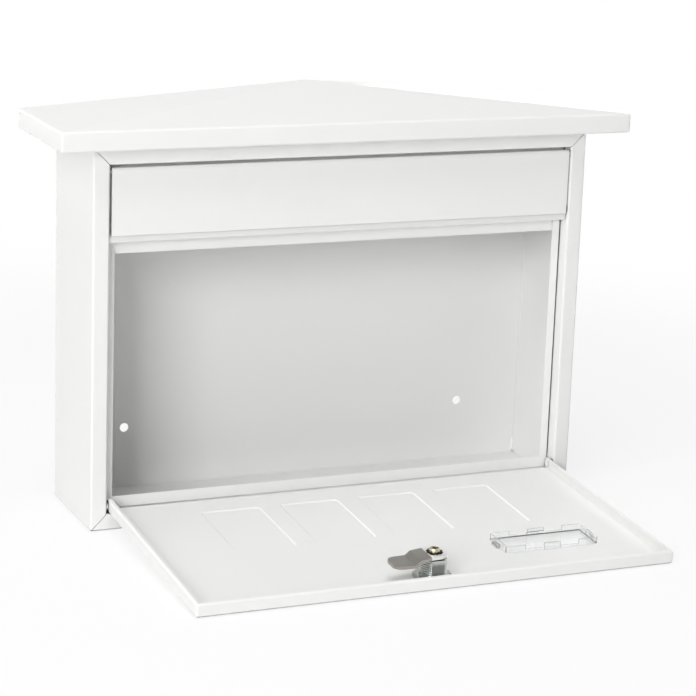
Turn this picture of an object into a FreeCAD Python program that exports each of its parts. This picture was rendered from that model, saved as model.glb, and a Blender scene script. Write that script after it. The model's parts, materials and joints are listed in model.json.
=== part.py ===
import FreeCAD, Part
import math
import os

# White steel wall mailbox: folded housing, hip roof, letter flap and drop-down door with a cam lock.
# Millimetres. X runs to the right, Y runs to the wall, Z up.
# The origin is the middle of the four wall holes, on the back face of the housing.

# Sheet and bends
sheet = 0.8
bend_inside = 0.8
overcut = 5.0
fillet_slack = 0.01
match_slack = 0.001

# Housing
body_width = 360.0
body_height = 260.0
body_depth = 85.0
flange_width = 11.5
return_depth = 16.0
mitre_slit = 0.4
mitre_heel = 0.3
wall_hole_dia = 6.4
wall_hole_pitch_x = 259.0
wall_hole_pitch_z = 170.0
relief_width = 1.4
relief_height = 9.0
relief_up = 3.0

# Stop ring inside the front returns
rebate_depth = 9.6
stop_width = 6.5
drain_gap = 1.2
sill_height = 7.5
frame_flange = 6.0
frame_corner = 3.5
frame_notch = 2.0

# Roof
roof_side_overhang = 26.0
roof_front_overhang = 15.0
fascia_height = 13.4
roof_rise = 14.4
soffit_lap = 8.0

# Crossbar
bar_below_flap = 5.0
bar_lip_height = 12.0
bar_lip_depth = 2.8
bar_drop = 8.5
bar_hem = 3.5
bar_end_gap = 0.3
bar_notch_gap = 0.3

# Letter flap
flap_top_gap = 2.0
flap_height = 45.5
flap_side_gap = 1.3
flap_recess = 0.3
flap_hem = 5.0
flap_curl_end = 60.0
rod_dia = 3.0
rod_clearance = 0.08
rod_overrun = 6.0
rod_chamfer = 0.3

# Door
door_top_gap = 0.5
door_side_gap = 1.5
door_recess = 0.2
door_depth = 9.0
door_lip = 3.0
door_droop = 3.8
hinge_inset = 4.0
hinge_tail = 0.8
hinge_rest_gap = 0.2
ear_rise = 1.5
pin_dia = 3.4
pin_clearance = 0.06
pin_shoulder_dia = 5.6
pin_head_dia = 5.0
pin_head_height = 1.0
pin_end_gap = 0.1
pin_proud = 0.5

# Pressed panels on the door
panel_count = 4
panel_width = 42.0
panel_height = 70.0
panel_pitch = 57.3
panel_up = 19.5
panel_press = 0.8
panel_slope = 1.0
panel_corner = 3.0

# Cam lock
lock_from_top = 18.5
lock_head_dia = 20.5
lock_head_height = 1.0
lock_head_edge = 0.4
barrel_dia = 17.4
barrel_flats = 15.0
barrel_length = 15.2
barrel_edge = 0.6
barrel_fit = 0.12
nut_across_flats = 23.0
nut_height = 3.2
nut_bevel = 1.3
nut_bevel_slope = 2.0
nut_fit = 0.05
plug_dia = 12.6
plug_fit = 0.06
plug_collar_dia = 14.6
plug_collar_height = 0.9
keyway_width = 1.8
keyway_height = 8.5
keyway_depth = 12.0
wafer_count = 4
wafer_start = 2.6
wafer_pitch = 2.3
wafer_thickness = 0.9
wafer_width = 7.0
wafer_window = 2.4
wafer_fit = 0.06
wafer_lug = 1.9
wafer_lug_height = 1.0
spring_wire = 0.3
spring_dia = 1.3
spring_length = 3.0
spring_turns = 4
spring_sides = 8
spring_fit = 0.1
drive_square = 8.0
drive_fit = 0.08
drive_short = 0.2
drive_root = 1.0
washer_height = 1.2
washer_dia = 13.2
washer_gap = 0.1
cam_thickness = 2.0
cam_root_dia = 16.5
cam_root_flat = 5.2
cam_arm_width = 18.0
cam_arm = 13.2
cam_fall = 1.2
cam_slope = 3.2
cam_crank = 2.8
cam_bend_shift = 0.9
cam_length = 30.5
cam_tip_width = 16.5
cam_tip_corner = 5.5
tooth_dia = 11.0
tooth_root_dia = 9.0
tooth_count = 12
tooth_height = 0.8
screw_dia = 4.0
screw_fit = 0.05
screw_length = 9.0
screw_tip_room = 1.0
screw_head_dia = 7.4
screw_head_height = 2.1
screw_head_edge = 1.0
recess_width = 1.2
recess_length = 5.2
recess_depth = 1.4

# Clear name-plate holder
holder_inset = 33.2
holder_up = 124.0
holder_width = 69.0
holder_height = 26.0
holder_wall = 1.3
holder_rise = 4.2
holder_face = 1.2
holder_rim = 2.6
holder_fit = 0.15
holder_corner = 2.0
holder_inner_corner = 0.7
holder_end = 14.5
holder_low = 1.2
tongue_width = 12.0
tongue_reach = 0.9
clip_width = 8.0
clip_reach = 2.6
clip_height = 2.4
clip_nose = 1.0
clip_root = 0.2
clip_gap = 0.05

# Derived positions
bend_outside = bend_inside + sheet
half_width = body_width / 2
floor = -body_height / 2
top = body_height / 2
front = -body_depth
mouth_x = half_width - flange_width
mouth_low = floor + flange_width
mouth_high = top - flange_width
ring_front = front + rebate_depth
ring_back = ring_front + sheet
throat_x = mouth_x - stop_width
sill_low = mouth_low + drain_gap
sill_top = sill_low + sill_height
flap_top = mouth_high - flap_top_gap
flap_low = flap_top - flap_height
bar_web = flap_low - bar_below_flap
droop = math.radians(door_droop)
door_face = front + door_recess
hinge_y = door_face + hinge_inset
hinge_reach = hinge_inset + bend_outside + hinge_rest_gap
hinge_lean = (front + bend_outside - hinge_y) * math.sin(droop)
hinge_z = mouth_low - bend_outside + (hinge_reach - hinge_lean) / math.cos(droop)
hinge = FreeCAD.Vector(0, hinge_y, hinge_z)
open_angle = 90.0 + door_droop
door_x = mouth_x - door_side_gap
door_edge = bar_web - door_top_gap
door_skin = door_face + sheet
door_back = door_face + door_depth
curl_bore = rod_dia / 2 + rod_clearance
curl_radius = curl_bore + sheet
flap_face = front + flap_recess
rod_y = flap_face + curl_radius
rod_z = flap_top - curl_radius
lock_z = door_edge - lock_from_top
lock_face = door_face - lock_head_height
barrel_end = door_face + barrel_length
washer_low = barrel_end + washer_gap
cam_low = washer_low + washer_height
cam_high = cam_low + cam_thickness
tooth_high = cam_high + tooth_height
holder_x = door_x - holder_inset - holder_width / 2
holder_z = hinge_z + holder_up


def block(xs, ys, zs):
    corner = FreeCAD.Vector(xs[0], ys[0], zs[0])
    return Part.makeBox(xs[1] - xs[0], ys[1] - ys[0], zs[1] - zs[0], corner)


def span(half):
    return (-half, half)


def soften(shape, radius, rule):
    edges = [edge for edge in shape.Edges if rule(edge.CenterOfMass)]
    return shape.makeFillet(radius, edges)


def near(value, target):
    return abs(value - target) < match_slack


def rod_x(radius, xs, y, z):
    base = FreeCAD.Vector(xs[0], y, z)
    return Part.makeCylinder(radius, xs[1] - xs[0], base, FreeCAD.Vector(1, 0, 0))


def disc(radius, ys, x=0.0, z=0.0):
    base = FreeCAD.Vector(x, ys[0], z)
    return Part.makeCylinder(radius, ys[1] - ys[0], base, FreeCAD.Vector(0, 1, 0))


def side_profile(points, xs):
    # Extrudes an outline drawn in depth and height along X.
    corners = [FreeCAD.Vector(xs[0], y, z) for y, z in points]
    face = Part.Face(Part.makePolygon(corners + corners[:1]))
    return face.extrude(FreeCAD.Vector(xs[1] - xs[0], 0, 0))


def rounded_outline(x, z, width, height, radius, y):
    # Closed outline of a rounded rectangle in a plane of constant depth.
    half_w = width / 2
    half_h = height / 2
    edges = []
    centres = ((1, 1, 0), (-1, 1, 90), (-1, -1, 180), (1, -1, 270))
    ends = []
    for side_x, side_z, start in centres:
        middle = (x + side_x * (half_w - radius), z + side_z * (half_h - radius))
        arc_points = []
        for step in (0, 45, 90):
            angle = math.radians(start + step)
            px = middle[0] + radius * math.cos(angle)
            pz = middle[1] + radius * math.sin(angle)
            arc_points.append(FreeCAD.Vector(px, y, pz))
        if ends:
            edges.append(Part.makeLine(ends[-1], arc_points[0]))
        edges.append(Part.Arc(*arc_points).toShape())
        ends.append(arc_points[0])
        ends.append(arc_points[2])
    edges.append(Part.makeLine(ends[-1], ends[0]))
    return Part.Wire(edges)


def rounded_plate(x, z, width, height, radius, ys):
    face = Part.Face(rounded_outline(x, z, width, height, radius, ys[0]))
    return face.extrude(FreeCAD.Vector(0, ys[1] - ys[0], 0))


def make_housing():
    outer = block(span(half_width), (front, 0), (floor, top))
    outer = outer.makeFillet(bend_outside, outer.Edges)
    hollow = block(span(half_width - sheet), (front + sheet, -sheet), (floor + sheet, top - sheet))
    hollow = hollow.makeFillet(bend_inside, hollow.Edges)
    # The returns stand round the mouth, so the hollow keeps clear of them.
    tube_z = (mouth_low - sheet, mouth_high + sheet)
    tube = block(span(mouth_x + sheet), (front, front + return_depth), tube_z)
    hollow = hollow.cut(tube)

    def at_tube_front(point):
        on_side = near(abs(point.x), mouth_x + sheet)
        on_level = near(point.z, tube_z[0]) or near(point.z, tube_z[1])
        return near(point.y, front + sheet) and (on_side or on_level)

    hollow = soften(hollow, bend_inside, at_tube_front)
    mouth_y = (front - overcut, front + return_depth + overcut)
    mouth = block(span(mouth_x), mouth_y, (mouth_low, mouth_high))
    housing = outer.cut(hollow).cut(mouth)

    def at_mouth(point):
        on_side = near(abs(point.x), mouth_x)
        on_level = near(point.z, mouth_low) or near(point.z, mouth_high)
        return near(point.y, front) and (on_side or on_level)

    housing = soften(housing, bend_outside, at_mouth)
    cuts = []
    through_back = (-sheet - overcut, overcut)
    for side_x in (-1, 1):
        for side_z in (-1, 1):
            # Open mitre in each corner of the front flange.
            xs = (-mitre_heel, math.hypot(flange_width, flange_width))
            slit = block(xs, (front - overcut, front + bend_outside), span(mitre_slit / 2))
            turn = -math.degrees(math.atan2(side_z, side_x))
            slit.rotate(FreeCAD.Vector(0, 0, 0), FreeCAD.Vector(0, 1, 0), turn)
            slit.translate(FreeCAD.Vector(side_x * mouth_x, 0, side_z * mouth_high))
            cuts.append(slit)
            hole_x = side_x * wall_hole_pitch_x / 2
            hole_z = side_z * wall_hole_pitch_z / 2
            cuts.append(disc(wall_hole_dia / 2, through_back, hole_x, hole_z))
            # Fold relief beside each back corner.
            relief_x = side_x * (half_width - bend_outside - relief_width / 2)
            relief_z = side_z * (top - relief_up - relief_height / 2)
            xs = (relief_x - relief_width / 2, relief_x + relief_width / 2)
            zs = (relief_z - relief_height / 2, relief_z + relief_height / 2)
            cuts.append(block(xs, through_back, zs))
        xs = sorted((side_x * (mouth_x - overcut), side_x * (mouth_x + sheet + overcut)))
        cuts.append(rod_x(pin_dia / 2 + pin_clearance, xs, hinge_y, hinge_z))
        cuts.append(rod_x(curl_bore, xs, rod_y, rod_z))
    return housing.cut(cuts)


def make_door_frame():
    low = sill_low
    back = ring_front + frame_flange
    plate = block(span(mouth_x), (ring_front, back), (low, mouth_high))

    def outer_bend(point):
        on_edge = near(abs(point.x), mouth_x) or near(point.z, mouth_high)
        return near(point.y, ring_front) and on_edge

    plate = soften(plate, bend_outside, outer_bend)
    inside_z = (low - overcut, mouth_high - sheet)
    inside = block(span(mouth_x - sheet), (ring_back, back + overcut), inside_z)

    def inner_bend(point):
        on_edge = near(abs(point.x), mouth_x - sheet) or near(point.z, mouth_high - sheet)
        return near(point.y, ring_back) and on_edge

    inside = soften(inside, bend_inside, inner_bend)
    ring = plate.cut(inside)
    through = (ring_front - overcut, back + overcut)
    throat = block(span(throat_x), through, (sill_top, mouth_high - stop_width))
    ring = ring.cut(throat)
    # The ring stands clear of the lower return, with rounded lower corners and short side flanges.
    for side in (-1, 1):
        corner_x = side * (mouth_x - frame_corner)
        xs = sorted((corner_x, side * (mouth_x + overcut)))
        square = block(xs, through, (low - overcut, low + frame_corner))
        square = square.cut(disc(frame_corner, through, corner_x, low + frame_corner))
        ring = ring.cut(square)
        xs = sorted((side * (mouth_x - bend_outside), side * (mouth_x + overcut)))
        notch_z = (low - overcut, sill_top + frame_notch)
        ring = ring.cut(block(xs, (ring_back, back + overcut), notch_z))
    return ring


def make_roof():
    roof_half = half_width + roof_side_overhang
    roof_depth = body_depth + roof_front_overhang
    eave = top + fascia_height
    side_slope = roof_rise / roof_half
    front_slope = roof_rise / roof_depth

    def cap(inset, radius):
        # A gable and a lean-to in common make the half pyramid.
        low = top + inset
        half = roof_half - inset
        side_drop = inset * math.hypot(1, side_slope)
        front_drop = inset * math.hypot(1, front_slope)
        back = 0 if inset == 0 else overcut
        side_z = eave + side_slope * inset - side_drop
        ridge_z = eave + roof_rise - side_drop
        outline = ((-half, low), (half, low), (half, side_z), (0, ridge_z), (-half, side_z))
        corners = [FreeCAD.Vector(x, -roof_depth + inset, z) for x, z in outline]
        gable = Part.Face(Part.makePolygon(corners + corners[:1]))
        gable = gable.extrude(FreeCAD.Vector(0, roof_depth - inset + back, 0))
        front_y = -roof_depth + inset
        front_z = eave + front_slope * inset - front_drop
        back_z = eave + front_slope * (roof_depth + back) - front_drop
        lean = ((front_y, low), (back, low), (back, back_z), (front_y, front_z))
        solid = gable.common(side_profile(lean, span(half + overcut)))

        def folded(point):
            on_fascia = near(abs(point.x), half) or near(point.y, front_y)
            return on_fascia and not near(point.y, back)

        return soften(solid, radius, folded)

    roof = cap(0, bend_outside).cut(cap(sheet, bend_inside))
    opening_x = half_width - soffit_lap
    opening_z = (top - overcut, top + sheet + bend_inside)
    opening = block(span(opening_x), (front + soffit_lap, overcut), opening_z)
    return roof.cut(opening)


def make_crossbar():
    web = bar_web
    long_x = mouth_x - bar_end_gap
    short_x = throat_x - bar_notch_gap
    lip_front = front + bar_lip_depth
    rail_back = ring_back + sheet
    lip = block(span(long_x), (lip_front, lip_front + bend_outside), (web, web + bar_lip_height))
    shelf = block(span(long_x), (lip_front, ring_front - bar_notch_gap), (web, web + bend_outside))
    angle = lip.fuse(shelf).removeSplitter()

    def low_front(point):
        return near(point.y, lip_front) and near(point.z, web)

    angle = soften(angle, bend_outside, low_front)
    void_z = (web + sheet, web + bar_lip_height + overcut)
    void = block(span(long_x + overcut), (lip_front + sheet, ring_front + overcut), void_z)

    def low_inside(point):
        return near(point.y, lip_front + sheet) and near(point.z, web + sheet)

    angle = angle.cut(soften(void, bend_inside, low_inside))
    # The middle of the shelf runs on between the ring sides and turns down behind the ring.
    tongue = block(span(short_x), (ring_front - bar_notch_gap, rail_back), (web, web + sheet))
    rail = block(span(short_x), (ring_back, rail_back), (web - bar_drop, web + sheet))
    bend = tongue.fuse(rail).removeSplitter()

    def high_back(point):
        return near(point.y, rail_back) and near(point.z, web + sheet)

    bend = soften(bend, bend_outside - fillet_slack, high_back)
    wing_x = mouth_x - sheet - bend_inside - bar_notch_gap
    wings = block(span(wing_x), (ring_back, rail_back), (web - bar_drop, web - bend_outside))
    hem = block(span(short_x), (rail_back, rail_back + sheet), (web - bar_drop, web - bar_drop + bar_hem))

    def hem_edges(point):
        return near(point.y, rail_back + sheet) and near(point.z, web - bar_drop)

    hem = soften(hem, sheet - fillet_slack, hem_edges)
    return angle.fuse([bend, wings, hem]).removeSplitter()


def make_letter_flap():
    half = mouth_x - flap_side_gap
    low = flap_low
    skin = flap_face + sheet
    plate = block(span(half), (flap_face, skin), (low + sheet, rod_z))
    hem_leg = block(span(half), (skin, skin + sheet), (low + sheet, low + flap_hem))
    hem_turn = rod_x(sheet, span(half), skin, low + sheet)
    above_y = (flap_face - overcut, skin + overcut)
    hem_turn = hem_turn.cut(block(span(half + overcut), above_y, (low + sheet, low + overcut)))
    curl = rod_x(curl_radius, span(half), rod_y, rod_z)
    curl = curl.cut(rod_x(curl_bore, span(half + overcut), rod_y, rod_z))
    # The curl runs from the plate over the top and ends behind the rod.
    reach = curl_radius + overcut
    end = math.radians(flap_curl_end)
    tip = (rod_y + reach * math.cos(end), rod_z - reach * math.sin(end))
    gap = (
        (rod_y, rod_z),
        tip,
        (rod_y, rod_z - reach),
        (rod_y - reach, rod_z - reach),
        (rod_y - reach, rod_z),
    )
    curl = curl.cut(side_profile(gap, span(half + overcut)))
    return plate.fuse([hem_leg, hem_turn, curl]).removeSplitter()


def make_flap_rod():
    half = mouth_x + sheet + rod_overrun
    rod = rod_x(rod_dia / 2, span(half), rod_y, rod_z)
    ends = [edge for edge in rod.Edges if near(abs(edge.CenterOfMass.x), half)]
    return rod.makeChamfer(rod_chamfer, ends)


def make_hinge_pins():
    # Shoulder rivets: peened behind the return, shouldered on it, the journal in the door rim.
    pins = []
    rim = door_x - sheet
    for side in (-1, 1):
        stages = (
            (rim - pin_proud, mouth_x + sheet, pin_dia / 2),
            (door_x + pin_end_gap, mouth_x, pin_shoulder_dia / 2),
            (mouth_x + sheet, mouth_x + sheet + pin_head_height, pin_head_dia / 2),
        )
        solids = []
        for start, end, radius in stages:
            solids.append(rod_x(radius, sorted((side * start, side * end)), hinge_y, hinge_z))
        pins.append(solids[0].fuse(solids[1:]).removeSplitter())
    return Part.makeCompound(pins)


def lock_outline(radius, flats, ys):
    # Round bar with two flats, facing up and down on the closed door.
    bar = disc(radius, ys, 0, lock_z)
    return bar.common(block(span(radius), ys, (lock_z - flats / 2, lock_z + flats / 2)))


def make_door_panel():
    low = hinge_z - hinge_tail
    pan = block(span(door_x), (door_face, door_back), (hinge_z, door_edge))

    def outer_bend(point):
        on_edge = near(abs(point.x), door_x) or near(point.z, door_edge)
        return on_edge and not near(point.z, hinge_z)

    pan = soften(pan, bend_outside, outer_bend)
    inner_x = door_x - sheet
    under = hinge_z - overcut
    inside = block(span(inner_x), (door_skin, door_back - sheet), (under, door_edge - sheet))

    def inner_bend(point):
        on_edge = near(abs(point.x), inner_x) or near(point.z, door_edge - sheet)
        return on_edge and not near(point.z, under)

    inside = soften(inside, bend_inside, inner_bend)
    lip_x = door_x - door_lip
    window_y = (door_back - sheet - bend_inside, door_back + overcut)
    window = block(span(lip_x), window_y, (under, door_edge - door_lip))
    door = pan.cut(inside).cut(window)
    # Plain tail of the panel below the hinge line, and a round ear on each rim.
    tail = block(span(door_x - bend_outside), (door_face, door_skin), (low, hinge_z))
    door = door.fuse(tail)
    for side in (-1, 1):
        xs = sorted((side * inner_x, side * door_x))
        ear = rod_x(hinge_inset, xs, hinge_y, hinge_z)
        ear_y = (hinge_y - hinge_inset, hinge_y + hinge_inset)
        above = block(xs, ear_y, (hinge_z + ear_rise, hinge_z + hinge_inset))
        door = door.fuse(ear.cut(above))
    door = door.removeSplitter()
    for side in (-1, 1):
        xs = sorted((side * (inner_x - overcut), side * (door_x + overcut)))
        door = door.cut(rod_x(pin_dia / 2 + pin_clearance, xs, hinge_y, hinge_z))
    # Pressed panels: raised outside, hollow inside, at one sheet thickness.
    middle = hinge_z + panel_up + panel_height / 2
    for index in range(panel_count):
        x = (index - (panel_count - 1) / 2) * panel_pitch
        wide = panel_width + 2 * panel_slope
        tall = panel_height + 2 * panel_slope
        foot = rounded_outline(x, middle, wide, tall, panel_corner + panel_slope, door_face)
        crown = rounded_outline(x, middle, panel_width, panel_height, panel_corner, door_face - panel_press)
        door = door.fuse(Part.makeLoft([foot, crown], True, True))
        foot = rounded_outline(x, middle, wide - sheet, tall - sheet, panel_corner + panel_slope, door_skin)
        crown_y = door_skin - panel_press
        crown_wide = panel_width - sheet
        crown_tall = panel_height - sheet
        crown = rounded_outline(x, middle, crown_wide, crown_tall, panel_corner, crown_y)
        door = door.cut(Part.makeLoft([foot, crown], True, True))
    through = (door_face - overcut, door_skin + overcut)
    door = door.cut(lock_outline(barrel_dia / 2 + barrel_fit, barrel_flats + 2 * barrel_fit, through))
    cut_w = holder_width + 2 * holder_fit
    cut_h = holder_height + 2 * holder_fit
    return door.cut(rounded_plate(holder_x, holder_z, cut_w, cut_h, holder_corner, through))


def make_lock_barrel():
    head = disc(lock_head_dia / 2, (lock_face, door_face), 0, lock_z)
    rim = [edge for edge in head.Edges if near(edge.CenterOfMass.y, lock_face)]
    head = head.makeChamfer(lock_head_edge, rim)
    barrel = disc(barrel_dia / 2, (door_face, barrel_end), 0, lock_z)
    rim = [edge for edge in barrel.Edges if near(edge.CenterOfMass.y, barrel_end)]
    barrel = barrel.makeChamfer(barrel_edge, rim)
    flats = (lock_z - barrel_flats / 2, lock_z + barrel_flats / 2)
    barrel = barrel.common(block(span(barrel_dia), (door_face, barrel_end), flats))
    barrel = barrel.fuse(head).removeSplitter()
    bore = disc(plug_dia / 2 + plug_fit, (lock_face - overcut, barrel_end + overcut), 0, lock_z)
    seat_y = (lock_face - overcut, lock_face + plug_collar_height + plug_fit)
    seat = disc(plug_collar_dia / 2 + plug_fit, seat_y, 0, lock_z)
    return barrel.cut([bore, seat])


def make_lock_nut():
    radius = nut_across_flats / math.sqrt(3)
    corners = []
    for index in range(7):
        angle = math.radians(30 + 60 * index)
        x = radius * math.cos(angle)
        z = lock_z + radius * math.sin(angle)
        corners.append(FreeCAD.Vector(x, door_skin, z))
    nut = Part.Face(Part.makePolygon(corners)).extrude(FreeCAD.Vector(0, nut_height, 0))
    # The upper corners are turned off to a cone.
    base = FreeCAD.Vector(0, door_skin, lock_z)
    small = radius - nut_bevel
    large = small + nut_bevel_slope * nut_height
    nut = nut.common(Part.makeCone(large, small, nut_height, base, FreeCAD.Vector(0, 1, 0)))
    through = (door_skin - overcut, door_skin + nut_height + overcut)
    return nut.cut(disc(barrel_dia / 2 + nut_fit, through, 0, lock_z))


def square_drive(size, ys):
    half = size / 2
    return block(span(half), ys, (lock_z - half, lock_z + half))


def wafer_place(index):
    return lock_face + wafer_start + index * wafer_pitch


def wafer_plate(middle, fit, height):
    half = wafer_width / 2 + fit
    ys = (middle - wafer_thickness / 2 - fit, middle + wafer_thickness / 2 + fit)
    return block(span(half), ys, (lock_z - height / 2, lock_z + height / 2))


def wafer_lug_block(middle, fit, travel):
    # Lug on one side of the wafer that its spring pushes up.
    side = wafer_width / 2
    xs = (side - fit, side + wafer_lug + fit)
    ys = (middle - wafer_thickness / 2 - fit, middle + wafer_thickness / 2 + fit)
    return block(xs, ys, (lock_z - travel, lock_z + wafer_lug_height + fit))


def spring_place():
    return wafer_width / 2 + wafer_lug / 2


def spring_room(middle):
    height = spring_length + spring_fit
    base = FreeCAD.Vector(spring_place(), middle, lock_z - height)
    return Part.makeCylinder(spring_dia / 2 + spring_fit, height, base)


def make_lock_plug():
    plug = disc(plug_dia / 2, (lock_face, barrel_end), 0, lock_z)
    collar = disc(plug_collar_dia / 2, (lock_face, lock_face + plug_collar_height), 0, lock_z)
    drive = square_drive(drive_square, (barrel_end - drive_root, cam_high - drive_short))
    plug = plug.fuse([collar, drive]).removeSplitter()
    keyway = block(
        span(keyway_width / 2),
        (lock_face - overcut, lock_face + keyway_depth),
        (lock_z - keyway_height / 2, lock_z + keyway_height / 2),
    )
    screw_hole = (cam_high - screw_length - screw_tip_room, cam_high + overcut)
    cuts = [keyway, disc(screw_dia / 2 + screw_fit, screw_hole, 0, lock_z)]
    for index in range(wafer_count):
        middle = wafer_place(index)
        cuts.append(wafer_plate(middle, wafer_fit, plug_dia))
        cuts.append(wafer_lug_block(middle, wafer_fit, spring_length))
        cuts.append(spring_room(middle))
    return plug.cut(cuts)


def make_lock_wafers():
    # Spring-pushed plates across the plug, drawn at the shear line.
    wafers = []
    for index in range(wafer_count):
        middle = wafer_place(index)
        ys = (middle - wafer_thickness, middle + wafer_thickness)
        plate = wafer_plate(middle, 0, plug_dia).fuse(wafer_lug_block(middle, 0, 0))
        plate = plate.common(disc(plug_dia / 2, ys, 0, lock_z)).removeSplitter()
        window = keyway_height / 2 + wafer_fit
        room = block(span(wafer_window / 2), ys, (lock_z - window, lock_z + window))
        wafers.append(plate.cut(room))
    return Part.makeCompound(wafers)


def make_wafer_springs():
    springs = []
    radius = (spring_dia - spring_wire) / 2
    height = spring_length - spring_wire - 2 * spring_fit
    steps = spring_turns * spring_sides
    path = []
    for step in range(steps + 1):
        angle = 2 * math.pi * step / spring_sides
        rise = height * step / steps
        path.append(FreeCAD.Vector(radius * math.cos(angle), radius * math.sin(angle), rise))
    half = spring_wire / 2 * math.sqrt(0.5)
    square = ((1, 1), (-1, 1), (-1, -1), (1, -1))
    ring = [FreeCAD.Vector(radius + x * half, 0, z * half) for x, z in square]
    ring = Part.makePolygon(ring + ring[:1])
    coil = Part.makePolygon(path).makePipeShell([ring], True, True, 1)
    for index in range(wafer_count):
        spring = coil.copy()
        start = lock_z - spring_length + spring_wire / 2 + spring_fit
        spring.translate(FreeCAD.Vector(spring_place(), wafer_place(index), start))
        springs.append(spring)
    return Part.makeCompound(springs)


def make_stop_washer():
    washer = disc(washer_dia / 2, (washer_low, cam_low), 0, lock_z)
    # A flat towards the arm leaves room for the cam's fall.
    beyond = (-washer_dia, -cam_root_flat)
    washer = washer.cut(block(beyond, (washer_low, cam_low), (lock_z - washer_dia, lock_z + washer_dia)))
    through = (washer_low - overcut, cam_low + overcut)
    return washer.cut(square_drive(drive_square + 2 * drive_fit, through))


def make_lock_cam():
    # Side view along the arm, which points to -X: flat at the root, a slight fall, then a crank to the tip.
    root = cam_root_dia / 2
    crank = cam_arm + cam_slope
    arm_low = cam_low - cam_fall
    tip_low = arm_low - cam_crank
    outline = (
        (root, cam_low),
        (-cam_root_flat, cam_low),
        (cam_bend_shift - cam_arm, arm_low),
        (cam_bend_shift - crank, tip_low),
        (-cam_length, tip_low),
        (-cam_length, tip_low + cam_thickness),
        (-crank, tip_low + cam_thickness),
        (-cam_arm, arm_low + cam_thickness),
        (-cam_root_flat, cam_high),
        (root, cam_high),
    )
    widest = cam_arm_width / 2
    corners = [FreeCAD.Vector(x, y, lock_z - widest) for x, y in outline]
    arm = Part.Face(Part.makePolygon(corners + corners[:1])).extrude(FreeCAD.Vector(0, 0, cam_arm_width))
    # Plan view: round at the root, widest at the crank, with a round-cornered tip.
    ys = (tip_low - overcut, cam_high + overcut)
    tip = cam_tip_width / 2
    points = ((0, -root), (-cam_arm, -widest), (-crank, -widest), (-cam_length, -tip))
    points = points + tuple((x, -z) for x, z in reversed(points))
    corners = [FreeCAD.Vector(x, ys[0], lock_z + z) for x, z in points]
    plan = Part.Face(Part.makePolygon(corners + corners[:1])).extrude(FreeCAD.Vector(0, ys[1] - ys[0], 0))

    def tip_corner(point):
        return near(point.x, -cam_length) and near(abs(point.z - lock_z), tip)

    plan = soften(plan, cam_tip_corner, tip_corner)
    plan = plan.fuse(disc(root, ys, 0, lock_z)).removeSplitter()
    cam = arm.common(plan)
    return cam.cut(square_drive(drive_square + 2 * drive_fit, ys))


def make_tooth_washer():
    corners = []
    steps = tooth_count * 2
    for index in range(steps + 1):
        angle = 2 * math.pi * (index % steps) / steps
        radius = tooth_dia / 2 if index % 2 == 0 else tooth_root_dia / 2
        x = radius * math.cos(angle)
        z = lock_z + radius * math.sin(angle)
        corners.append(FreeCAD.Vector(x, cam_high, z))
    washer = Part.Face(Part.makePolygon(corners)).extrude(FreeCAD.Vector(0, tooth_height, 0))
    through = (cam_high - overcut, tooth_high + overcut)
    return washer.cut(disc(screw_dia / 2 + screw_fit, through, 0, lock_z))


def make_cam_screw():
    head_top = tooth_high + screw_head_height
    head = disc(screw_head_dia / 2, (tooth_high, head_top), 0, lock_z)
    head = soften(head, screw_head_edge, lambda point: near(point.y, head_top))
    shank = disc(screw_dia / 2, (cam_high - screw_length, tooth_high), 0, lock_z)
    screw = head.fuse(shank).removeSplitter()
    half = recess_width / 2
    arm = recess_length / 2
    ys = (head_top - recess_depth, head_top + overcut)
    cross = block(span(arm), ys, (lock_z - half, lock_z + half))
    cross = cross.fuse(block(span(half), ys, (lock_z - arm, lock_z + arm)))
    return screw.cut(cross)


def snap_clip(wall, reach, width):
    # Wedge that grips behind the door skin, drawn on a wall at +X of the holder's middle.
    low = door_skin + clip_gap
    points = (
        (wall - clip_root, low),
        (wall + reach, low),
        (wall + reach, low + clip_nose),
        (wall - clip_root, low + clip_height),
    )
    corners = [FreeCAD.Vector(x, y, -width / 2) for x, y in points]
    return Part.Face(Part.makePolygon(corners + corners[:1])).extrude(FreeCAD.Vector(0, 0, width))


def make_name_holder():
    middle = FreeCAD.Vector(holder_x, 0, holder_z)
    centre = FreeCAD.Vector(0, 0, 0)
    upright = FreeCAD.Vector(0, 1, 0)
    back = door_skin + holder_rise
    # Window plate outside, tray walls through the door, clips behind the skin.
    rim_w = holder_width + 2 * holder_rim
    rim_h = holder_height + 2 * holder_rim
    plate_y = (door_face - holder_face, door_face)
    plate = rounded_plate(0, 0, rim_w, rim_h, holder_corner + holder_rim, plate_y)
    walls = rounded_plate(0, 0, holder_width, holder_height, holder_corner, (door_face, back))
    in_w = holder_width - 2 * holder_wall
    in_h = holder_height - 2 * holder_wall
    walls = walls.cut(rounded_plate(0, 0, in_w, in_h, holder_inner_corner, (door_face, back + overcut)))
    # The long walls are low between the two ends, apart from a tongue at the middle.
    open_half = holder_width / 2 - holder_end
    for side in (-1, 1):
        xs = sorted((side * tongue_width / 2, side * open_half))
        walls = walls.cut(block(xs, (door_skin + holder_low, back + overcut), span(holder_height)))
    holder = plate.fuse(walls)
    for turn in (0, 180):
        clip = snap_clip(holder_width / 2, clip_reach, clip_width)
        tongue = snap_clip(holder_height / 2, tongue_reach, tongue_width)
        clip.rotate(centre, upright, turn)
        tongue.rotate(centre, upright, turn + 90)
        holder = holder.fuse([clip, tongue])
    holder = holder.removeSplitter()
    holder.translate(middle)
    return holder


fixed_parts = {
    "housing": make_housing,
    "roof": make_roof,
    "door_frame": make_door_frame,
    "crossbar": make_crossbar,
    "flap_rod": make_flap_rod,
    "hinge_pins": make_hinge_pins,
    "letter_flap": make_letter_flap,
}

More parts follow.
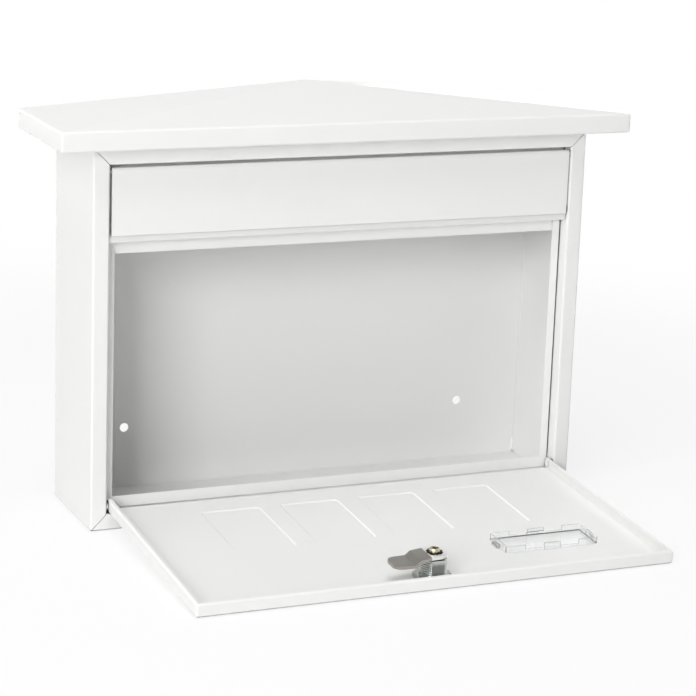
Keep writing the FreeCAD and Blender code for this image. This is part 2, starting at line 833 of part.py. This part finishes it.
# These are drawn on the closed door and then laid open about the hinge pins.
door_parts = {
    "door_panel": make_door_panel,
    "lock_barrel": make_lock_barrel,
    "lock_nut": make_lock_nut,
    "lock_plug": make_lock_plug,
    "lock_wafers": make_lock_wafers,
    "wafer_springs": make_wafer_springs,
    "stop_washer": make_stop_washer,
    "lock_cam": make_lock_cam,
    "tooth_washer": make_tooth_washer,
    "cam_screw": make_cam_screw,
    "name_holder": make_name_holder,
}

os.makedirs("parts", exist_ok=True)

for name, maker in fixed_parts.items():
    maker().exportStep("parts/" + name + ".step")

for name, maker in door_parts.items():
    shape = maker()
    shape.rotate(hinge, FreeCAD.Vector(1, 0, 0), open_angle)
    shape.exportStep("parts/" + name + ".step")
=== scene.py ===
# %% [markdown]
# A white steel wall mailbox, dressed for its portrait.
#
# The box is folded from thin sheet, powder coated white, and stands with its drop-down door open, so
# the camera sees the coat outside and inside, a cam lock on the door, and a clear name holder. The
# solids carry every fold already. What is left for this lesson is the light, the finishes, and the one
# shape that is too fine for the solids: the thread on the lock's barrel.

import json
import math

import bmesh
import bpy
from mathutils import Matrix, Vector


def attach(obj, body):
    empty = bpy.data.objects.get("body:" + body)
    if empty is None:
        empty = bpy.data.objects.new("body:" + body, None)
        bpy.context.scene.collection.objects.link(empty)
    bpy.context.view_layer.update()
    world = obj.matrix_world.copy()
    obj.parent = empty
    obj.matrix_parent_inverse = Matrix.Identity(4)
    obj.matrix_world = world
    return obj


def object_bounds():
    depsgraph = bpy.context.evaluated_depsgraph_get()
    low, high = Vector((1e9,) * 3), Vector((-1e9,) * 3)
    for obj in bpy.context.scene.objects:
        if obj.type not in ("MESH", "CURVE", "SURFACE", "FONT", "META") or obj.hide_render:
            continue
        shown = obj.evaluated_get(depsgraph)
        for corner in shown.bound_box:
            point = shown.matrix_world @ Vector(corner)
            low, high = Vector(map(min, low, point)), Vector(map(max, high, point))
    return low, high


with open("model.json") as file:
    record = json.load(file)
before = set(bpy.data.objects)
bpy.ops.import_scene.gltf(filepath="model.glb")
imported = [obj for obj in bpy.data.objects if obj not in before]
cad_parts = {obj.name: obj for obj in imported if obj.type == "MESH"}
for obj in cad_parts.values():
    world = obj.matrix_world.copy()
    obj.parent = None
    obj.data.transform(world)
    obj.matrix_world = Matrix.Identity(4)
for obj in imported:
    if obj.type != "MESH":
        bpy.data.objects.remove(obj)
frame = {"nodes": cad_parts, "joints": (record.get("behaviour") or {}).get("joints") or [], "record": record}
cad_box = [list(corner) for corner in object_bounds()]
mm = 0.001
print("pieces of the mailbox:", sorted(frame["nodes"]))

# %% [markdown]
# ## The camera
#
# A small lens error shows at once on a box, because its long straight edges run to vanishing points.
# The place of the camera could be set by eye, but here it was worked out from the corners of the box:
# it stands left of the middle, a little above the roof, some 1.7 m away, with a long lens. The three
# turns are a yaw about the upright, a pitch down, and a slight roll.

# %% Set the camera
camera_place = Vector((-646.5, -1577.5, 402.4)) * mm
camera_yaw = math.radians(23.53)
camera_pitch = math.radians(14.39)
camera_roll = math.radians(-2.05)
picture_pixels = 696
focal_pixels = 2445.6
sensor_width = 36.0
far_clip = 50

forward = Vector((
    math.sin(camera_yaw) * math.cos(camera_pitch),
    math.cos(camera_yaw) * math.cos(camera_pitch),
    -math.sin(camera_pitch),
))
level_right = Vector((math.cos(camera_yaw), -math.sin(camera_yaw), 0))
level_up = level_right.cross(forward)
rolled_right = math.cos(camera_roll) * level_right - math.sin(camera_roll) * level_up
rolled_up = math.sin(camera_roll) * level_right + math.cos(camera_roll) * level_up

camera_data = bpy.data.cameras.new("portrait_camera")
camera_data.sensor_width = sensor_width
camera_data.lens = focal_pixels / picture_pixels * sensor_width
camera_data.clip_end = far_clip
camera = bpy.data.objects.new("portrait_camera", camera_data)
bpy.context.scene.collection.objects.link(camera)
turn = Matrix((rolled_right, rolled_up, -forward)).transposed()
camera.matrix_world = Matrix.Translation(camera_place) @ turn.to_4x4()
bpy.context.scene.camera = camera
bpy.context.scene.view_settings.view_transform = "Standard"
print("lens of %.1f mm" % camera_data.lens)

# %% [markdown]
# ## Shader maths as Python
#
# A finish is a small graph of nodes. Adding and linking nodes by hand hides the sum that they make, so
# one class stands for an output socket and knows plus, minus and times. An expression such as
# `1 - grain * 0.2` then adds its own Math nodes.

# %% Sums of sockets
class Wire:
    """An output socket that takes part in Python sums."""

    def __init__(self, finish, socket):
        self.finish = finish
        self.socket = socket

    def sum(self, operation, first, second):
        return self.finish.node("ShaderNodeMath", {"operation": operation}, {0: first, 1: second})

    def __add__(self, other):
        return self.sum("ADD", self, other)

    def __radd__(self, other):
        return self.sum("ADD", other, self)

    def __sub__(self, other):
        return self.sum("SUBTRACT", self, other)

    def __rsub__(self, other):
        return self.sum("SUBTRACT", other, self)

    def __mul__(self, other):
        return self.sum("MULTIPLY", self, other)

    def __rmul__(self, other):
        return self.sum("MULTIPLY", other, self)


print("sockets know plus, minus and times")

# %% [markdown]
# ## One method for every other node
#
# `node` takes a node's type, its settings, and the values or links of its sockets. The short methods
# under it are the phrases that the finishes of this box repeat: where a point is, a noise of a given
# size, a mix of two colours, a bump, and how open a place is. The last one asks an Ambient Occlusion
# node how much of the view from a point is blocked nearby. Only strong blocking counts. The finishes
# use it to paint shade into a gap between two sheets, and the open inside of a fold stays as it is.

# %% A finish and its nodes
mix_first, mix_second, mix_result = 6, 7, 2
gap_shut = 0.25
gap_open = 0.55
gap_rays = 8


class Finish:
    """A node material, or the world, with one method that adds any node."""

    def __init__(self, owner):
        self.owner = owner
        owner.use_nodes = True
        self.tree = owner.node_tree
        self.tree.nodes.clear()

    def node(self, kind, settings=None, inputs=None, output=0):
        added = self.tree.nodes.new(kind)
        for name, value in (settings or {}).items():
            setattr(added, name, value)
        for name, value in (inputs or {}).items():
            if isinstance(value, Wire):
                self.tree.links.new(value.socket, added.inputs[name])
            else:
                added.inputs[name].default_value = value
        if len(added.outputs) == 0:
            return None
        return Wire(self, added.outputs[output])

    def place(self):
        return self.node("ShaderNodeTexCoord", output="Object")

    def ray(self, output):
        return self.node("ShaderNodeLightPath", output=output)

    def grain(self, size, detail=2.0, stretch=(1, 1, 1)):
        """Noise whose spots are about `size` metres across, longer where `stretch` is small."""
        scaled = self.node("ShaderNodeMapping", {}, {"Vector": self.place(), "Scale": stretch})
        inputs = {"Vector": scaled, "Scale": 1 / size, "Detail": detail}
        return self.node("ShaderNodeTexNoise", {}, inputs)

    def mixed(self, factor, first, second):
        inputs = {"Factor": factor, mix_first: first, mix_second: second}
        return self.node("ShaderNodeMix", {"data_type": "RGBA"}, inputs, output=mix_result)

    def bump(self, height, depth, strength=0.5, below=None):
        inputs = {"Height": height, "Distance": depth, "Strength": strength}
        if below is not None:
            inputs["Normal"] = below
        return self.node("ShaderNodeBump", {}, inputs)

    def openness(self, reach):
        """One on open faces, falling to nought inside gaps narrower than the reach."""
        settings = {"samples": gap_rays}
        found = self.node("ShaderNodeAmbientOcclusion", settings, {"Distance": reach}, output="AO")
        span = {"Value": found, "From Min": gap_shut, "From Max": gap_open}
        return self.node("ShaderNodeMapRange", {}, span)

    def surface(self, inputs):
        shader = self.node("ShaderNodeBsdfPrincipled", {}, inputs)
        self.node("ShaderNodeOutputMaterial", {}, {"Surface": shader})
        return self.owner


def new_finish(name):
    return Finish(bpy.data.materials.new(name))


print("gaps darken from %.2f down to %.2f open" % (gap_open, gap_shut))

# %% [markdown]
# ## White powder coat
#
# Powder coat is sprayed on dry and melted, so it keeps a faint orange peel of about a millimetre and
# pulls the gloss of the sheet's own slow waves. A flat white would look like card. Here two whites a
# shade apart drift over the sheet, the gloss drifts with them, and two bumps carry the peel and the
# waves. Shade is painted into the coat where sheets nearly meet, so its colour goes dark in the gaps.
# A mask drawn by hand could do that, but it would have to be redrawn for every fold.

# %% White powder coat
peel_size = 1.4 * mm
peel_depth = 0.006 * mm
wave_size = 60 * mm
wave_depth = 0.3 * mm
drift_size = 90 * mm
coat_shade = (0.86, 0.86, 0.845, 1)
coat_light = (0.885, 0.885, 0.878, 1)
coat_gloss = 0.29
drift_gloss = 0.06
peel_gloss = 0.03
coat_index = 1.5
# painted shade: how far the gap search reaches, and the dark grey painted into gaps between sheets
painted_shade_reach = 4 * mm
painted_seam_shade = (0.03, 0.03, 0.03, 1)


def white_coat():
    finish = new_finish("white_powder_coat")
    drift = finish.grain(drift_size, 3)
    peel = finish.grain(peel_size)
    clean = finish.mixed(drift, coat_shade, coat_light)
    waves = finish.bump(finish.grain(wave_size, 1), wave_depth)
    return finish.surface({
        # painted shade: the coat's colour turns dark grey where nearby sheets block the view
        "Base Color": finish.mixed(finish.openness(painted_shade_reach), painted_seam_shade, clean),
        "Roughness": coat_gloss + drift_gloss * drift + peel_gloss * peel,
        "Normal": finish.bump(peel, peel_depth, below=waves),
        "IOR": coat_index,
    })


print("coat with a peel of %.1f mm" % (peel_size / mm))

# %% [markdown]
# ## Metals of the lock
#
# The lock mixes platings. Nickel on the barrel, plug and nut is bright with a cool cast. The washers
# are blackened, and the screw is zinc plated with a yellow passivation that wanders towards green.
# Inside sit brass wafers on drawn steel springs, and the flap's rod is drawn steel too. A plain grey
# metal would make them all one, so one function takes what differs: two colours that drift over each
# other, a gloss, and the direction of fine drawn lines. Shade is painted into crevices as a near-black
# colour, which brings out the cross of the screw and the foot of each thread.

# %% Metal finishes
# painted shade: how far the crevice search reaches, and the near-black colour painted into crevices
painted_crevice_reach = 1.5 * mm
painted_crevice_shade = (0.05, 0.05, 0.045, 1)
metal_swing = 0.16
lines_per_spot = 6
line_depth = 0.01 * mm


def metal(name, dark, light, gloss, spot, lines=(1, 1, 1)):
    finish = new_finish(name)
    drift = finish.grain(spot, 3, lines)
    fine = finish.grain(spot / lines_per_spot, 2, lines)
    worn = finish.mixed(drift, dark + (1,), light + (1,))
    return finish.surface({
        # painted shade: the metal's colour turns near-black inside crevices
        "Base Color": finish.mixed(finish.openness(painted_crevice_reach), painted_crevice_shade, worn),
        "Metallic": 1.0,
        "Roughness": gloss + metal_swing * drift,
        "Normal": finish.bump(fine, line_depth),
    })


finishes = {
    "lock_chrome": metal(
        "nickel_plate", dark=(0.44, 0.46, 0.445), light=(0.66, 0.69, 0.67), gloss=0.16, spot=4 * mm),
    "plain_steel": metal(
        "drawn_steel", dark=(0.42, 0.42, 0.43), light=(0.56, 0.56, 0.57), gloss=0.20, spot=3 * mm,
        lines=(0.1, 1, 1)),
    "black_steel": metal(
        "blackened_steel", dark=(0.008, 0.008, 0.009), light=(0.03, 0.03, 0.032), gloss=0.34,
        spot=2 * mm),
    "yellow_zinc": metal(
        "yellow_zinc_plate", dark=(0.62, 0.55, 0.27), light=(0.93, 0.88, 0.66), gloss=0.20,
        spot=2 * mm),
    "wafer_brass": metal(
        "stamped_brass", dark=(0.58, 0.41, 0.16), light=(0.76, 0.58, 0.27), gloss=0.22, spot=2 * mm),
}
print("metals:", sorted(finishes))

# %% [markdown]
# ## The cam
#
# The cam is stamped from zinc plated steel, dull and a little warm along its arm. On the flat root,
# where the washers seat, a reflection is painted in as a much lighter colour. It is one stamping, not
# two pieces with a finish each, so its one finish asks how far along the arm a point lies and blends.

# %% Finish of the cam
cam_root_flat = 5.2 * mm
# painted reflection: the root within this reach of the lock's axis takes the light colours below
sheen_blend = 0.4 * mm
cam_spot = 5 * mm
cam_line = 0.8 * mm
cam_lines = (0.3, 1, 1)
cam_gloss = 0.30
arm_dark, arm_light = (0.34, 0.325, 0.30, 1), (0.47, 0.45, 0.42, 1)
# painted reflection: the root's colours are far lighter than the arm's
root_sheen_dark, root_sheen_light = (0.82, 0.82, 0.81, 1), (0.95, 0.95, 0.94, 1)
root_matt = 0.5


def dull_zinc():
    finish = new_finish("dull_zinc_plate")
    drift = finish.grain(cam_spot, 3, cam_lines)
    along = finish.node("ShaderNodeSeparateXYZ", {}, {"Vector": finish.place()}, output="X")
    edge = {"Value": along, "From Min": -cam_root_flat - sheen_blend, "From Max": -cam_root_flat}
    root_sheen_mask = finish.node("ShaderNodeMapRange", {"interpolation_type": "SMOOTHSTEP"}, edge)
    arm = finish.mixed(drift, arm_dark, arm_light)
    root = finish.mixed(drift, root_sheen_dark, root_sheen_light)
    return finish.surface({
        # painted reflection: the root blends from the arm's colour to a much lighter one
        "Base Color": finish.mixed(root_sheen_mask, arm, root),
        "Metallic": 1 - root_matt * root_sheen_mask,
        "Roughness": cam_gloss + metal_swing * drift,
        "Normal": finish.bump(finish.grain(cam_line, 2, cam_lines), line_depth),
    })


print("cam bright for %.1f mm from the lock's axis" % (cam_root_flat / mm))

# %% [markdown]
# ## Clear plastic
#
# The name holder is moulded in clear styrene. Glass alone would be too clean, so the surface gets the
# slow flow waves of a moulding and a gloss that is not quite perfect. Real styrene lets most of the
# lamps' light through to the door under it. Bent light is slow to find by tracing, so the Alpha falls
# for shadow rays, and the paint under the holder stays as light as the paint beside it.

# %% Clear plastic
flow_size = 9 * mm
flow_stretch = (0.4, 1, 1)
flow_depth = 0.05 * mm
flow_strength = 0.4
flow_gloss = 0.05
styrene_gloss = 0.03
styrene_dark, styrene_light = (0.94, 0.955, 0.955, 1), (0.985, 0.99, 0.99, 1)
styrene_index = 1.49
clear_body = 0.75
clear_lamps = 0.6


def clear_styrene():
    finish = new_finish("clear_styrene")
    flow = finish.grain(flow_size, 1, flow_stretch)
    return finish.surface({
        "Base Color": finish.mixed(flow, styrene_dark, styrene_light),
        "Roughness": styrene_gloss + flow_gloss * flow,
        "Normal": finish.bump(flow, flow_depth, flow_strength),
        "Transmission Weight": 1.0,
        "IOR": styrene_index,
        "Alpha": clear_body - clear_lamps * finish.ray("Is Shadow Ray"),
    })


print("styrene of index", styrene_index)

# %% [markdown]
# ## Dressing the pieces
#
# The record names a finish slot for every piece of the mailbox. A loop over it gives each piece its
# material, so a piece that is added later is dressed without a new line here.

# %% Dress every piece
finishes["white_paint"] = white_coat()
finishes["cam_steel"] = dull_zinc()
finishes["clear_plastic"] = clear_styrene()
for row in frame["record"]["subparts"]:
    for slot in frame["nodes"][row["node"]].material_slots:
        slot.material = finishes[row["material_slot"]]

# %% [markdown]
# ## The barrel's thread
#
# The barrel is a threaded bar with two flats, so its thread shows as short ridges on the two round
# sides. A bump would do from afar, but it would vanish from the outline, so the ridges are built: one
# small four-sided section is carried along a helix about the lock's axis, wherever the helix is clear
# of the flats. The axis comes from the joint that turns the cam.

# %% Shape of one ridge
barrel_radius = 8.7 * mm
flats_half = 7.5 * mm
thread_pitch = 1.5 * mm
thread_depth = 0.4 * mm
thread_root = 0.05 * mm
crest_half = 0.16 * mm
foot_half = 0.6 * mm
thread_start = 5.0 * mm
thread_end = 14.2 * mm
steps_per_side = 28
flat_angle = math.asin(flats_half / barrel_radius)

lock_joint = next(joint for joint in frame["joints"] if joint["name"] == "lock_turn")
lock_place = Vector(lock_joint["pos_m"])
lock_axis = Vector(lock_joint["axis"]).normalized()
lock_side = Vector((1, 0, 0))
lock_across = lock_axis.cross(lock_side)

section = (
    (barrel_radius - thread_root, -foot_half),
    (barrel_radius + thread_depth, -crest_half),
    (barrel_radius + thread_depth, crest_half),
    (barrel_radius - thread_root, foot_half),
)


def thread_ring(mesh, angle, rise):
    """The ridge's section at one angle of the helix."""
    outward = math.cos(angle) * lock_side + math.sin(angle) * lock_across
    foot = lock_place + lock_axis * rise
    return [mesh.verts.new(foot + outward * reach + lock_axis * lift) for reach, lift in section]


def ridge(mesh, middle, turns):
    """One ridge on one round side, centred on the angle `middle`."""
    rings = []
    for step in range(steps_per_side + 1):
        angle = middle + flat_angle * (2 * step / steps_per_side - 1)
        rise = thread_start + thread_pitch * (turns + angle / (2 * math.pi))
        rings.append(thread_ring(mesh, angle, rise))
    for first, second in zip(rings, rings[1:]):
        for corner in range(len(section)):
            after = (corner + 1) % len(section)
            mesh.faces.new((first[corner], second[corner], second[after], first[after]))
    mesh.faces.new(rings[0])
    mesh.faces.new(reversed(rings[-1]))


print("ridges reach %.0f degrees to each side" % math.degrees(flat_angle))

# %% Cut the thread
thread_mesh = bmesh.new()
turn_count = int((thread_end - thread_start) / thread_pitch)
for turns in range(turn_count):
    ridge(thread_mesh, 0, turns)
    ridge(thread_mesh, math.pi, turns)
bmesh.ops.recalc_face_normals(thread_mesh, faces=thread_mesh.faces)
thread_data = bpy.data.meshes.new("barrel_thread")
thread_mesh.to_mesh(thread_data)
thread_mesh.free()
thread = bpy.data.objects.new("barrel_thread", thread_data)
bpy.context.scene.collection.objects.link(thread)
thread_data.materials.append(finishes["lock_chrome"])
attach(thread, "door")
print("thread of", turn_count, "turns on two sides")

# %% [markdown]
# ## The floor
#
# The box stands on a pale paper sweep. The paper takes the shadow near the box and turns to plain white
# farther out, as lit paper does. More light would whiten the paper too, but it would burn out the box,
# so the paper only looks white to the eye: the camera, mirrors and glass see part of it as a plain
# white, and the light that it throws back on the box is that of matt paper.

# %% Floor
floor_half = 8.0
sweep_near = 0.35
sweep_far = 0.9
sweep_glow = 0.8
paper_spot = 0.2
paper_dark, paper_light = (0.93, 0.93, 0.93, 1), (0.95, 0.95, 0.95, 1)
white = (1, 1, 1, 1)
ray_kinds = 3
floor_level = cad_box[0][2]

floor_data = bpy.data.meshes.new("floor")
corners = [(-floor_half, -floor_half), (floor_half, -floor_half),
           (floor_half, floor_half), (-floor_half, floor_half)]
floor_data.from_pydata([(x, y, floor_level) for x, y in corners], [], [(0, 1, 2, 3)])
floor = bpy.data.objects.new("floor", floor_data)
bpy.context.scene.collection.objects.link(floor)


def seen_by_eye(finish):
    """One for rays from the camera, a mirror or glass, and nought once a ray has left a matt face."""
    rays = finish.ray("Is Camera Ray") + finish.ray("Is Glossy Ray") + finish.ray("Is Transmission Ray")
    matt_faces = finish.ray("Diffuse Depth")
    return finish.node("ShaderNodeClamp", {}, {"Value": rays - matt_faces * ray_kinds})


def pale_floor():
    finish = new_finish("paper_sweep")
    length = {"operation": "LENGTH"}
    centre = finish.node("ShaderNodeVectorMath", length, {0: finish.place()}, output="Value")
    inputs = {"Value": centre, "From Min": sweep_near, "From Max": sweep_far}
    far = finish.node("ShaderNodeMapRange", {"interpolation_type": "SMOOTHSTEP"}, inputs)
    paper = finish.mixed(finish.grain(paper_spot, 2), paper_dark, paper_light)
    matt = finish.node("ShaderNodeBsdfDiffuse", {}, {"Color": paper})
    glow = finish.node("ShaderNodeEmission", {}, {"Color": white, "Strength": 1.0})
    factor = (sweep_glow + (1 - sweep_glow) * far) * seen_by_eye(finish)
    shader = finish.node("ShaderNodeMixShader", {}, {0: factor, 1: matt, 2: glow})
    finish.node("ShaderNodeOutputMaterial", {}, {"Surface": shader})
    return finish.owner


floor_data.materials.append(pale_floor())
print("floor at %.1f mm" % (floor_level / mm))

# %% [markdown]
# ## The sky
#
# The sky is a weak white dome that fills the shadows. What mirrors see is another matter: a lock in an
# all-white room would look like paper, so the room that gloss and glass see is dark in front of the box
# and turns white behind it. The camera itself sees plain white.

# %% Sky
sky_light = 0.22
room_dark = 0.25
room_turn = (-0.5, 0.3)

world = bpy.data.worlds.new("studio")
bpy.context.scene.world = world
sky = Finish(world)
heading = sky.node("ShaderNodeTexCoord", output="Generated")
depth = sky.node("ShaderNodeSeparateXYZ", {}, {"Vector": heading}, output="Y")
room = {"Value": depth, "From Min": room_turn[0], "From Max": room_turn[1], "To Min": room_dark}
mirrored = sky.node("ShaderNodeMapRange", {"interpolation_type": "SMOOTHSTEP"}, room)
seen = seen_by_eye(sky)
eye = sky.ray("Is Camera Ray")
level = eye + (1 - eye) * (sky_light * (1 - seen) + mirrored * seen)
dome = sky.node("ShaderNodeBackground", {}, {"Color": white, "Strength": level})
sky.node("ShaderNodeOutputWorld", {}, {"Surface": dome})
print("sky of %.2f" % sky_light)

# %% [markdown]
# ## The lamps
#
# A white box on white needs soft light with one side a little stronger, so that each fold still turns
# from light to shade. A sun would give hard edges, so soft boxes are used. The key stands in front on
# the left, and a smaller one high on the left draws the soft shadow of the roof. One overhead lights
# the roof and the open door. Two stand behind: a low one lifts the roof's far slope, and the last one
# lights the back.

# %% Lamps
def soft_box(name, place, aim, size, watts):
    """A rectangular lamp that faces the point `aim`."""
    data = bpy.data.lights.new(name, "AREA")
    data.shape = "RECTANGLE"
    data.size, data.size_y = size
    data.energy = watts
    lamp = bpy.data.objects.new(name, data)
    bpy.context.scene.collection.objects.link(lamp)
    lamp.location = place
    lamp.rotation_euler = (Vector(aim) - Vector(place)).to_track_quat("-Z", "Y").to_euler()
    lamp.visible_camera = False
    return lamp


lamps = [
    soft_box("key", place=(-1.85, -2.15, 0.95), aim=(0, -0.08, 0), size=(1.2, 1.2), watts=43),
    soft_box("high", place=(-1.6, -0.8, 1.7), aim=(0, -0.12, 0), size=(0.6, 0.6), watts=8),
    soft_box("top", place=(-0.3, -0.5, 2.3), aim=(0, -0.1, 0), size=(1.6, 1.6), watts=26),
    soft_box("rim", place=(1.75, 2.5, 0.36), aim=(0.12, -0.03, 0.15), size=(1.0, 0.5), watts=6),
    soft_box("fill", place=(-0.6, 2.6, 0.1), aim=(0, 0, 0), size=(1.4, 0.8), watts=14),
]
print(len(lamps), "lamps of", sum(lamp.data.energy for lamp in lamps), "watts in all")
